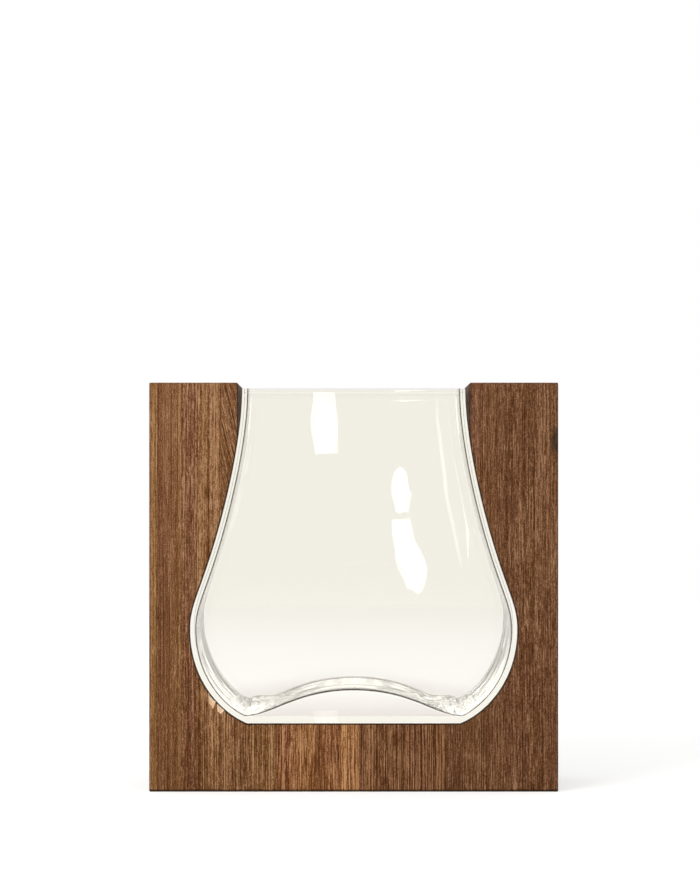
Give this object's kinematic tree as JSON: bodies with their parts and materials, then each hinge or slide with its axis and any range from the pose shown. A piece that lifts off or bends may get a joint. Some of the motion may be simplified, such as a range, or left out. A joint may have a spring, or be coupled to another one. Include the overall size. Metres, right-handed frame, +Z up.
{
  "type": "framed glass vase",
  "caption": "Flat-faced clear glass vase with a full belly and straight mouth, standing in a matching cut through a square block of glued hardwood staves.",
  "frame": {"origin": "on the ground plane under the middle of the wooden block", "axes": "+Z up through the mouth of the vase; +X to the right seen from the front; the front face looks towards -Y and +Y runs back through the block"},
  "size_m": [0.254, 0.076, 0.254],
  "materials": {
    "light_wood": "oiled, open grain",
    "dark_wood": "oiled, open grain",
    "clear_glass": "clear, glossy, faint warm tint"
  },
  "bodies": {
    "block": {"left_outer_stave": "light_wood", "left_belly_stave": "light_wood", "left_foot_block": "light_wood", "left_neck_wedge": "light_wood", "left_base_block": "light_wood", "right_base_block": "dark_wood", "right_foot_block": "dark_wood", "right_neck_wedge": "dark_wood", "right_outer_stave": "dark_wood"},
    "glass": {"glass_vase": "clear_glass"}
  },
  "joints": [
    {"name": "glass_slide", "type": "slide", "parent": "block", "child": "glass", "axis": [0, -1, 0], "range_m": [-0.08, 0.08]}
  ]
}
